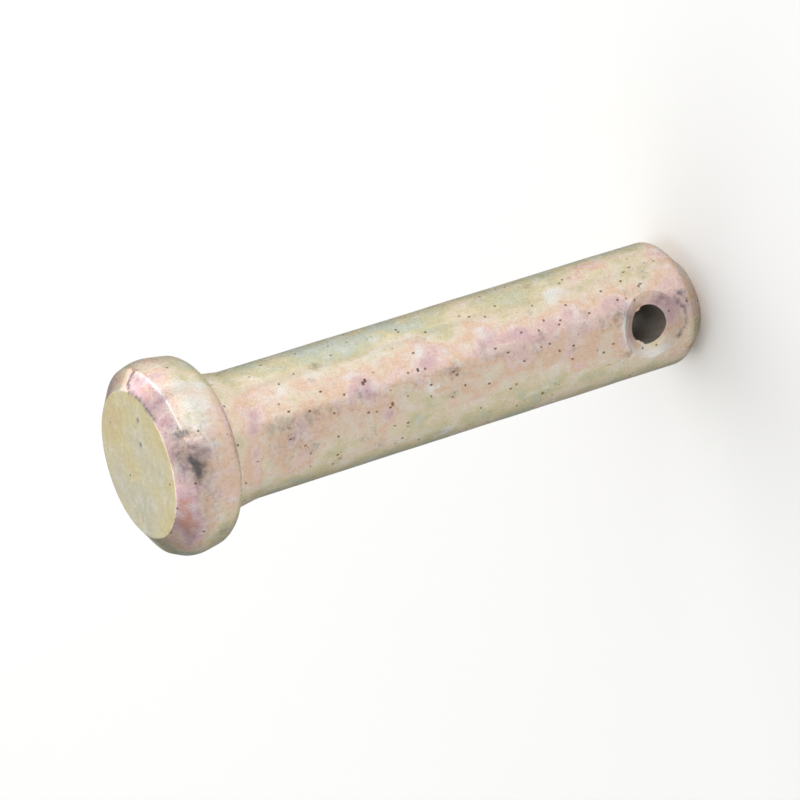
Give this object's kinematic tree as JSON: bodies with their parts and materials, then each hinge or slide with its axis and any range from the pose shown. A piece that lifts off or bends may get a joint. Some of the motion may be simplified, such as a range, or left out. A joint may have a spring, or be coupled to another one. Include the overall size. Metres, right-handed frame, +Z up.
{
  "type": "clevis pin",
  "caption": "Cold-headed steel clevis pin with a chamfered button head, a straight shank and a bevelled cotter hole across its tapered tip, zinc plated with yellow passivate.",
  "frame": {"origin": "centre of the tip's end face, which the pin stands on", "axes": "+Z up the shank from the tip to the head; the cotter hole runs along Y, and -Y is the side the picture shows"},
  "size_m": [0.0194, 0.0194, 0.0614],
  "materials": {
    "yellow_zinc": "zinc plated with an iridescent yellow passivate, satin, with dark specks and pale scuffs"
  },
  "bodies": {
    "root": {"clevis_pin": "yellow_zinc"}
  },
  "joints": []
}
